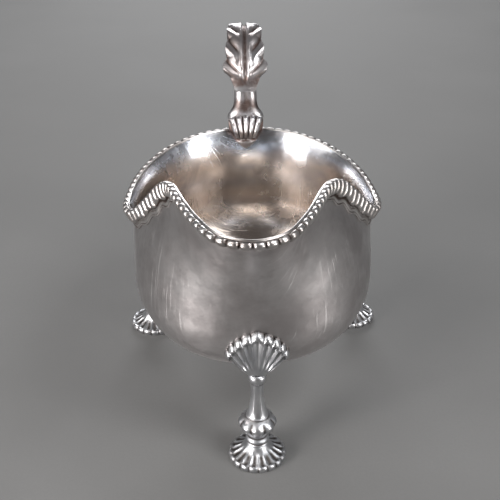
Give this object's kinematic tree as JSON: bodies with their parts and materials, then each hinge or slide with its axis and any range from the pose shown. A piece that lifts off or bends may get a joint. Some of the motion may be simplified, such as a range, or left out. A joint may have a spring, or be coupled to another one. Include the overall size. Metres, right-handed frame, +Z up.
{
  "type": "sauce boat",
  "caption": "Silver sauce boat: oval bowl with a high pouring lip, gadrooned rim, leaf-capped scroll handle, and legs with shell knees and shell feet.",
  "frame": {"origin": "on the surface it stands on, under the middle of its bounding box", "axes": "+Z up, +Y from the pouring lip towards the handle, +X to the right seen from the lip's end"},
  "size_m": [0.108, 0.1802, 0.121],
  "materials": {
    "raised_silver": "satin hand-raised silver, lightly scratched and toned",
    "cast_silver": "polished cast silver with dark toning in the recesses",
    "gadroon_silver": "polished cast silver with dark toning between the lobes"
  },
  "bodies": {
    "root": {"bowl": "raised_silver", "border_front_right": "gadroon_silver", "border_front_left": "gadroon_silver", "border_rear_right": "gadroon_silver", "border_rear_left": "gadroon_silver", "shell_knee_front": "cast_silver", "shell_knee_right": "cast_silver", "shell_knee_left": "cast_silver", "leg_stem_front": "cast_silver", "leg_stem_right": "cast_silver", "leg_stem_left": "cast_silver", "shell_foot_front": "cast_silver", "shell_foot_right": "cast_silver", "shell_foot_left": "cast_silver", "handle_half_right": "cast_silver", "handle_half_left": "cast_silver", "acanthus_leaf": "cast_silver", "rim_shell": "cast_silver", "wall_plate": "cast_silver"}
  },
  "joints": []
}
